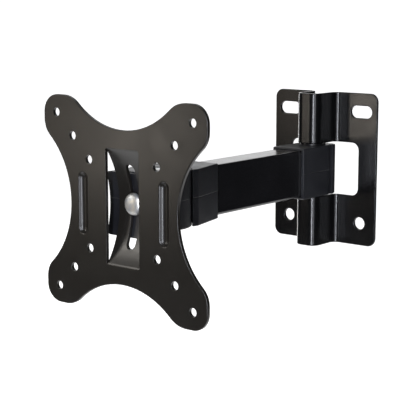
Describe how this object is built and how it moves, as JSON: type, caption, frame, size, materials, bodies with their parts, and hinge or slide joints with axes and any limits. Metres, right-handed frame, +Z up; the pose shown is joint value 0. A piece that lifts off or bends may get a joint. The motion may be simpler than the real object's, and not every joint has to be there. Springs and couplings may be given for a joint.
{
  "type": "full motion tv wall mount",
  "caption": "Single-arm wall mount for a small flat screen: formed wall plate, swinging tube arm, swivelling head and a tilting pressed plate with square hole patterns.",
  "frame": {"origin": "centre of the wall plate's rear face, on the wall", "axes": "+Z up, -Y away from the wall towards the screen, +X to the right for someone facing the wall"},
  "size_m": [0.12, 0.1983, 0.12],
  "materials": {
    "wall_sheet": "semi-gloss black powder coat",
    "screen_sheet": "satin black powder coat",
    "arm_tube_paint": "gloss black coat",
    "cap_plastic": "satin moulded nylon",
    "liner_nylon": "black acetal",
    "bare_steel": "turned",
    "zinc_steel": "bright zinc plate"
  },
  "bodies": {
    "wall_bracket": {"wall_plate": "wall_sheet", "upper_pivot_sleeve": "wall_sheet", "lower_pivot_sleeve": "wall_sheet", "wall_pivot_bolt": "zinc_steel", "wall_pivot_nut": "zinc_steel", "wall_pivot_washers": "zinc_steel"},
    "arm": {"arm_tube": "arm_tube_paint", "knuckle_bush": "bare_steel", "knuckle_liner_upper": "liner_nylon", "knuckle_liner_lower": "liner_nylon", "wall_cap_upper": "cap_plastic", "wall_cap_lower": "cap_plastic", "front_cap_upper": "cap_plastic", "front_cap_lower": "cap_plastic", "knuckle_tongue": "bare_steel", "tongue_liner_upper": "liner_nylon", "tongue_liner_lower": "liner_nylon"},
    "swivel_head": {"head_upper": "cap_plastic", "head_lower": "cap_plastic", "head_pivot_bolt": "zinc_steel", "head_pivot_nut": "zinc_steel", "head_pivot_washers": "zinc_steel", "tilt_bolt": "zinc_steel", "tilt_washer": "zinc_steel", "tilt_nut": "zinc_steel"},
    "screen_carrier": {"screen_plate": "screen_sheet"}
  },
  "joints": [
    {"name": "wall_swivel", "type": "hinge", "parent": "wall_bracket", "child": "arm", "pos_m": [0, -0.016, 0], "axis": [0, 0, 1], "range_deg": [-85, 85]},
    {"name": "head_swivel", "type": "hinge", "parent": "arm", "child": "swivel_head", "pos_m": [0, -0.168, 0], "axis": [0, 0, 1], "range_deg": [-40, 40]},
    {"name": "screen_tilt", "type": "hinge", "parent": "swivel_head", "child": "screen_carrier", "pos_m": [0, -0.2425, -0.0025], "axis": [1, 0, 0], "range_deg": [-15, 15]}
  ]
}
